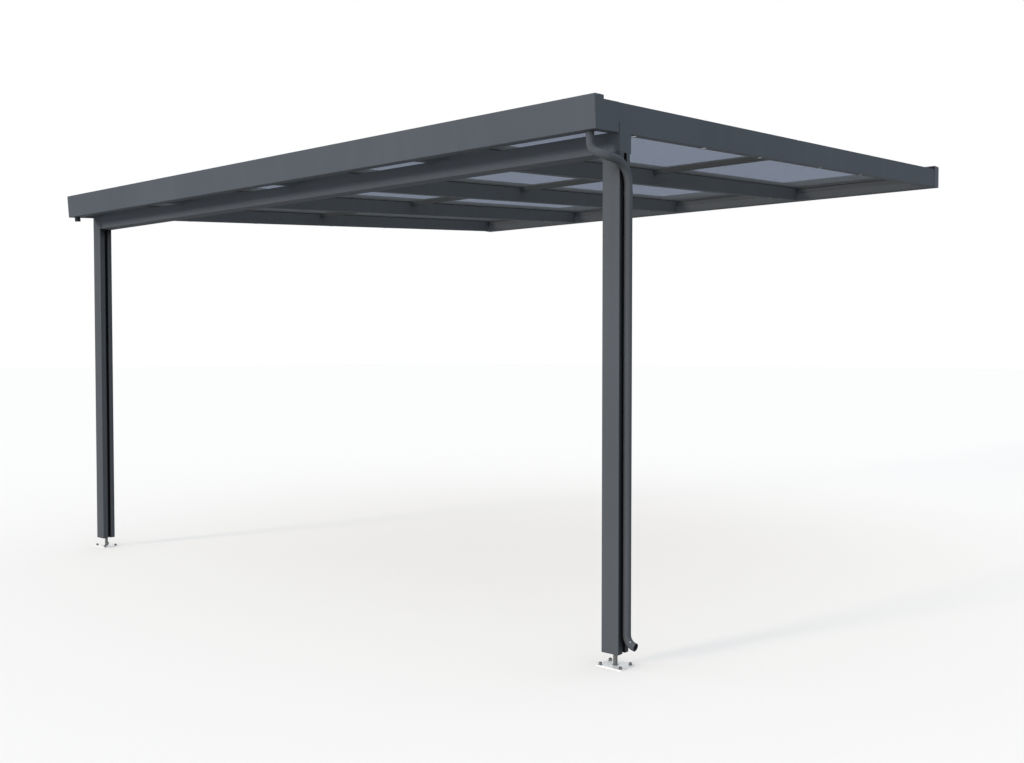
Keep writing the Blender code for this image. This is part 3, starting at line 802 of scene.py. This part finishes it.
def lip_outline(x, n, width, height, steps=4):
    """A quarter-round lip: flat against x and n, rounded outwards."""
    points = [(x, n)]
    for k in range(steps + 1):
        angle = math.pi / 2 * k / steps
        points.append((x + width * math.cos(angle), n + height * math.sin(angle)))
    return points


def bend(corners, radii, steps=14):
    """A route's points, with every inner corner rounded to a radius of its own."""
    route = [corners[0]]
    for before, here, after, radius in zip(corners, corners[1:], corners[2:], radii):
        into = (before - here).normalized()
        out = (after - here).normalized()
        half = into.angle(out) / 2
        centre = here + (into + out).normalized() * radius / math.sin(half)
        start = here + into * radius / math.tan(half) - centre
        end = here + out * radius / math.tan(half) - centre
        swing = start.rotation_difference(end)
        for k in range(steps + 1):
            route.append(centre + Quaternion().slerp(swing, k / steps) @ start)
    route.append(corners[-1])
    return route


def frames_along(route):
    """A place at each point of a route, whose Z axis follows the route without twist."""
    ways = []
    for k in range(len(route)):
        before = route[max(k - 1, 0)]
        after = route[min(k + 1, len(route) - 1)]
        ways.append((after - before).normalized())
    turned = ways[0].to_track_quat("Z", "Y")
    places = []
    for k, way in enumerate(ways):
        if k:
            turned = ways[k - 1].rotation_difference(way) @ turned
        places.append(Matrix.Translation(route[k]) @ turned.to_matrix().to_4x4())
    return places


def pipe(work, stations):
    """An open pipe through (point, outer radius) stations. Inner faces take the piece's second finish."""
    places = frames_along([point for point, radius in stations])
    outer = []
    inner = []
    for place, (point, radius) in zip(places, stations):
        outer.append(ring(work, place, radius, 0, PIPE_SIDES))
        inner.append(ring(work, place, radius - PIPE_WALL, 0, PIPE_SIDES))
    rings = outer + inner[::-1]
    for first, second in zip(rings, rings[1:] + rings[:1]):
        join_rings(work, first, second)
    hollow = {point for circle in inner for point in circle}
    for face in work.faces:
        if hollow.issuperset(face.verts):
            face.material_index = 1


def socket_stations(top):
    """Stations of a pipe's widened upper end, going down from its rim."""
    shoulder = 0.004
    wide = PIPE_RADIUS + SOCKET_SWELL
    return [
        (top, wide - 0.0004),
        (top - Vector((0, 0, 0.0006)), wide),
        (top - Vector((0, 0, SOCKET_LENGTH - shoulder)), wide),
        (top - Vector((0, 0, SOCKET_LENGTH)), PIPE_RADIUS),
    ]


# The pieces


def lay_pipe(name, stations, solid):
    """One length of the downpipe, in place of its coarser solid."""
    work = bmesh.new()
    pipe(work, stations)
    piece = add_piece(name, work, PIPE_COAT, [solid])
    # The inner faces take the dark trim: painted shade inside the pipe
    piece.data.materials.append(TRIM_AND_INNER_SHADE)


def plain_stations(route):
    """Stations of a pipe that is as wide all along its route."""
    return [(point, PIPE_RADIUS) for point in route]


def downpipe():
    """The downpipe's three lengths, round and with a socket, and the rivet on its shoe."""
    start = ROOF_PLACE @ Vector((OUTLET_X, GUTTER_DEPTH / 2, -JOINT_GAP))
    turn_out = ROOF_PLACE @ Vector((OUTLET_X, GUTTER_DEPTH / 2, -PIPE_DROP))
    turn_back = Vector((PIPE_X, turn_out.y + PIPE_CROSS_BACK, turn_out.z - PIPE_CROSS_DROP))
    turn_down = Vector((PIPE_X, PIPE_Y, turn_back.z - PIPE_BACK_FALL))
    joint_top = Vector((PIPE_X, PIPE_Y, PIPE_JOINT_TOP))
    joint_bottom = Vector((PIPE_X, PIPE_Y, PIPE_JOINT_BOTTOM))
    corners = [start, turn_out, turn_back, turn_down, joint_top]
    route = bend(corners, [PIPE_BEND, PIPE_BEND, PIPE_SWEEP])
    lay_pipe("rain_pipe_offset", plain_stations(route), "downpipe_offset")
    gap = Vector((0, 0, JOINT_GAP))
    stations = socket_stations(joint_top - gap) + plain_stations([joint_bottom + gap])
    lay_pipe("rain_pipe", stations, "downpipe")
    reach = SHOE_BEND * math.tan(SHOE_ANGLE / 2) + SHOE_TAIL
    elbow = joint_bottom - Vector((0, 0, reach))
    mouth = elbow + reach * Vector((math.sin(SHOE_ANGLE), 0, -math.cos(SHOE_ANGLE)))
    route = bend([joint_bottom, elbow, mouth], [SHOE_BEND])
    lay_pipe("rain_pipe_shoe", plain_stations(route), "downpipe_shoe")
    rivet(joint_bottom)


def rivet(joint_bottom):
    """A bright rivet on the shoe's side."""
    centre = joint_bottom + Vector((SHOE_BEND, 0, -SHOE_TAIL))
    outward = Vector((-math.cos(RIVET_ALONG), 0, -math.sin(RIVET_ALONG)))
    normal = outward * math.cos(RIVET_ROUND) + Vector((0, -1, 0)) * math.sin(RIVET_ROUND)
    spot = centre + outward * SHOE_BEND + normal * PIPE_RADIUS
    place = Matrix.Translation(spot) @ normal.to_track_quat("Z", "Y").to_matrix().to_4x4()
    dome = [
        (0, -0.0008),
        (0.0021, -0.0008),
        (0.0021, 0.0003),
        (0.0016, 0.0010),
        (0.0008, 0.0013),
        (0, 0.0014),
    ]
    work = bmesh.new()
    turn(work, place, dome, sides=20)
    add_piece("shoe_rivet", work, PLATE)


def foot_bolts(side, post):
    """Four anchor bolts with nuts and washers, each nut left at another angle."""
    work = bmesh.new()
    for k, (sx, sy) in enumerate(CORNERS):
        spot = Matrix.Translation((sx * FOOT_HOLE_X / 2, sy * FOOT_HOLE_Y / 2, FOOT_TOP + HAIR))
        place = post @ spot @ Matrix.Rotation(math.radians(17 + 23 * k), 4, "Z")
        washer(work, place, WASHER_RADIUS, BOLT_RADIUS, WASHER_HEIGHT)
        on_washer = place @ Matrix.Translation((0, 0, WASHER_HEIGHT))
        nut(work, on_washer, NUT_FLATS, NUT_HEIGHT, BOLT_RADIUS)
        tip = WASHER_HEIGHT + NUT_HEIGHT + BOLT_END
        bolt_end(work, place, radius=BOLT_RADIUS * 0.98, low=0.001, high=tip)
    add_piece("foot_bolts_" + side, work, STEEL)


def foot_thread(side, post):
    """The stud's thread, on a thin skin round the stud."""
    work = bmesh.new()
    thread(work, post, STUD_RADIUS, low=FOOT_TOP + 0.004, high=POST_BOTTOM + 0.004)
    rod = STUD_RADIUS + HAIR
    low = FOOT_TOP + 0.001
    high = POST_BOTTOM + 0.020
    turn(work, post, [(0, low), (rod, low), (rod, high), (0, high)])
    add_piece("foot_thread_" + side, work, STEEL)


def foot_weld(side, post):
    """The weld's seam round the stud's lower end."""
    seam = [
        (STUD_RADIUS - 0.001, FOOT_TOP - 0.0005),
        (STUD_RADIUS + 0.0045, FOOT_TOP - 0.0005),
        (STUD_RADIUS + 0.0042, FOOT_TOP + 0.0008),
        (STUD_RADIUS + 0.0024, FOOT_TOP + 0.0024),
        (STUD_RADIUS + 0.0008, FOOT_TOP + 0.0044),
        (STUD_RADIUS - 0.001, FOOT_TOP + 0.0046),
    ]
    work = bmesh.new()
    turn(work, post, seam, closed=True)
    add_piece("foot_weld_" + side, work, STEEL)


def feet():
    """Bolts, thread and weld at each post's foot."""
    for side, sign in SIDES:
        post = Matrix.Translation((sign * POST_X, POST_Y, 0))
        foot_bolts(side, post)
        foot_thread(side, post)
        foot_weld(side, post)


def rafter_lines():
    """Middle lines of the five rafters' undersides."""
    pitch = WIDTH / BAYS
    inner = [-WIDTH / 2 + pitch * i for i in range(1, BAYS)]
    edge = WIDTH / 2 - SIDE_RAFTER_WIDTH / 2
    return [-edge] + inner + [edge]


def lights():
    """Small round lights let into the rafters' undersides."""
    rim = LIGHT_RADIUS
    bezel = [
        (rim, HAIR),
        (rim, 0.0010),
        (rim - 0.0008, 0.0018),
        (rim - 0.0024, 0.0018),
        (rim - 0.0030, 0.0006),
        (rim - 0.0030, HAIR),
    ]
    cover = [
        (0, HAIR),
        (rim - 0.0032, HAIR),
        (rim - 0.0034, 0.0007),
        (rim * 0.4, 0.0011),
        (0, 0.0012),
    ]
    look_down = Matrix.Rotation(math.pi, 4, "X")
    lines = rafter_lines()
    for i, x in enumerate(lines, 1):
        rings = bmesh.new()
        covers = bmesh.new()
        outermost = x in (lines[0], lines[-1])
        for u in SIDE_LIGHTS if outermost else INNER_LIGHTS:
            place = ROOF_PLACE @ Matrix.Translation((x, u, 0)) @ look_down
            turn(rings, place, bezel, closed=True)
            turn(covers, place, cover)
        add_piece(f"light_rings_{i}", rings, COAT)
        add_piece(f"light_covers_{i}", covers, LENS)


def cap_screws():
    """Sealing screws that hold the glazing caps down, each on a rubber washer."""
    cushion = [(0, HAIR), (0.0078, HAIR), (0.0080, 0.0010), (0.0070, 0.0020), (0, 0.0020)]
    flange = [(0, 0.0020), (0.0068, 0.0020), (0.0068, 0.0028), (0.0050, 0.0032), (0, 0.0032)]
    head_base = Matrix.Translation((0, 0, 0.0031))
    reach = ROOF_RUN - GUTTER_DEPTH
    for i, x in enumerate(rafter_lines(), 1):
        heads = bmesh.new()
        washers = bmesh.new()
        for k in range(CAP_SCREWS):
            u = GUTTER_DEPTH + reach * (k + 0.5) / CAP_SCREWS
            place = ROOF_PLACE @ Matrix.Translation((x, u, CAP_TOP))
            turned = place @ Matrix.Rotation(math.radians(37 * k + 11 * i), 4, "Z")
            turn(washers, place, cushion)
            turn(heads, place, flange)
            nut(heads, turned @ head_base, flats=0.008, height=0.0042, bore=0.001, sides=24)
        add_piece(f"cap_screws_{i}", heads, PLATE)
        add_piece(f"cap_washers_{i}", washers, RUBBER)


def pane_seals():
    """Rubber lips beside the panes, under and over them, along every rafter."""
    half = RAFTER_WIDTH / 2
    side_line = WIDTH / 2 - SIDE_RAFTER_WIDTH
    edges = []
    for i, x in enumerate(rafter_lines()[1:-1], 1):
        edges += [(f"{i}_left", x - half, -1), (f"{i}_right", x + half, 1)]
    edges += [("side_left", -side_line, 1), ("side_right", side_line, -1)]
    end = ROOF_RUN - 0.010
    for label, x, way in edges:
        work = bmesh.new()
        under = lip_outline(x, PANE_BOTTOM, way * SEAL_WIDTH, -SEAL_HEIGHT)
        run(work, under, GUTTER_DEPTH, end, up_the_slope)
        over = lip_outline(x, PANE_TOP, way * SEAL_WIDTH, SEAL_HEIGHT)
        run(work, over, PANE_FRONT, end, up_the_slope)
        add_piece("pane_seal_" + label, work, RUBBER)


def bay_spans(clearance, outer_inset):
    """The low and high x of each bay, less a clearance at inner rafters and an inset at the roof's ends."""
    pitch = WIDTH / BAYS
    spans = []
    for i in range(BAYS):
        low = -WIDTH / 2 + pitch * i + (outer_inset if i == 0 else clearance)
        high = -WIDTH / 2 + pitch * (i + 1) - (outer_inset if i == BAYS - 1 else clearance)
        spans.append((low, high))
    return spans


def joint_seals():
    """A flat rubber cover over each joint of two panes, with a tongue down between them."""
    tongue = PANE_JOINT / 2 - 0.0003
    wing = 0.012
    outline = [
        (MID_U - tongue, PANE_BOTTOM + 0.0006),
        (MID_U + tongue, PANE_BOTTOM + 0.0006),
        (MID_U + tongue, PANE_TOP + HAIR),
        (MID_U + wing, PANE_TOP + HAIR),
        (MID_U + wing - 0.001, PANE_TOP + 0.0012),
        (MID_U + 0.003, PANE_TOP + 0.0022),
        (MID_U - 0.003, PANE_TOP + 0.0022),
        (MID_U - wing + 0.001, PANE_TOP + 0.0012),
        (MID_U - wing, PANE_TOP + HAIR),
        (MID_U - tongue, PANE_TOP + HAIR),
    ]
    inset = END_PLATE + UPSTAND + SIDE_RAFTER_WIDTH
    for i, (low, high) in enumerate(bay_spans(RAFTER_WIDTH / 2, inset), 1):
        work = bmesh.new()
        run(work, outline, low, high, across_the_roof)
        add_piece(f"joint_seal_{i}", work, RUBBER)


def slot_linings():
    """Black rubber that lines the slots in the posts' side faces."""
    bed = POST / 2 - SLOT_DEPTH + HAIR
    lip = POST / 2 - 0.0015
    side = SLOT_MOUTH / 2 - HAIR
    thick = 0.0007
    section = [
        (bed, -side),
        (lip, -side),
        (lip, -side + thick),
        (bed + thick, -side + thick),
        (bed + thick, side - thick),
        (lip, side - thick),
        (lip, side),
        (bed, side),
    ]
    for side_name, sign in SIDES:
        for face, way in (("outer", sign), ("inner", -sign)):
            work = bmesh.new()
            outline = [(sign * POST_X + way * a, POST_Y + b) for a, b in section]
            run(work, outline, POST_BOTTOM + 0.001, HEADER_BOTTOM - 0.002, along_the_post)
            add_piece(f"slot_lining_{side_name}_{face}", work, RUBBER)


def ledger_seals():
    """A rubber lip that closes the ledger's groove over the panes, bay by bay."""
    outline = [
        (LEDGER_FRONT + 0.012, GROOVE_LOW + 0.0008),
        (LEDGER_FRONT - 0.001, GROOVE_LOW),
        (LEDGER_FRONT - 0.004, GROOVE_LOW + 0.0002),
        (LEDGER_FRONT - 0.003, GROOVE_LOW + 0.0014),
        (LEDGER_FRONT + 0.0005, GROOVE_HIGH),
        (LEDGER_FRONT + 0.012, GROOVE_HIGH),
    ]
    inset = END_PLATE + SIDE_RAFTER_WIDTH
    for i, (start, end) in enumerate(bay_spans(RAFTER_WIDTH / 2 + 0.001, inset), 1):
        work = bmesh.new()
        run(work, outline, start, end, across_the_wall)
        add_piece(f"ledger_seal_{i}", work, RUBBER)


def beside_the_slit(x, n, along):
    """A place past the end plate's slit, which stands plumb on the sloping roof."""
    return up_the_slope(x, n, SLIT_U + along + n * math.tan(PITCH))


def slit_shade_strip(side, sign):
    """A thin black strip on the side rafter's face, in the slit of a header's end plate: painted shade for
    the dark slit.
    """
    face = WIDTH / 2 - END_PLATE
    strip = [
        (sign * (face + HAIR), 0.0010),
        (sign * (face + 0.0014), 0.0010),
        (sign * (face + 0.0014), 0.0440),
        (sign * (face + HAIR), 0.0440),
    ]
    work = bmesh.new()
    run(work, strip, HAIR, 0.0085, beside_the_slit)
    add_piece("slit_shade_strip_" + side, work, RUBBER)


def ledger_corner_shade(side, sign):
    """A black wedge over a side rafter's upper end, against the ledger: painted shade for the dark corner
    there.
    """
    end = ROOF_RUN + CAP_TOP * math.tan(PITCH)
    wedge = [
        (end - 0.014, CAP_TOP + 0.0002),
        (end - 0.0006, CAP_TOP + 0.0002),
        (end + 0.0006, CAP_TOP + 0.0185),
        (end - 0.004, CAP_TOP + 0.0185),
        (end - 0.009, CAP_TOP + 0.0160),
        (end - 0.012, CAP_TOP + 0.0110),
        (end - 0.0135, CAP_TOP + 0.0050),
    ]
    limits = sorted((sign * (WIDTH / 2 - 0.0005), sign * (WIDTH / 2 - SIDE_RAFTER_WIDTH)))
    work = bmesh.new()
    run(work, wedge, *limits, across_the_roof)
    add_piece("ledger_corner_shade_" + side, work, RUBBER)


def corner_shade_strips():
    """The black strips of painted shade at the roof's four corners."""
    for side, sign in SIDES:
        slit_shade_strip(side, sign)
        ledger_corner_shade(side, sign)


set_camera()
set_world()
lamps(floor())
dress_solids()
downpipe()
feet()
lights()
cap_screws()
pane_seals()
slot_linings()
joint_seals()
ledger_seals()
corner_shade_strips()
bpy.context.scene.view_settings.view_transform = "Standard"
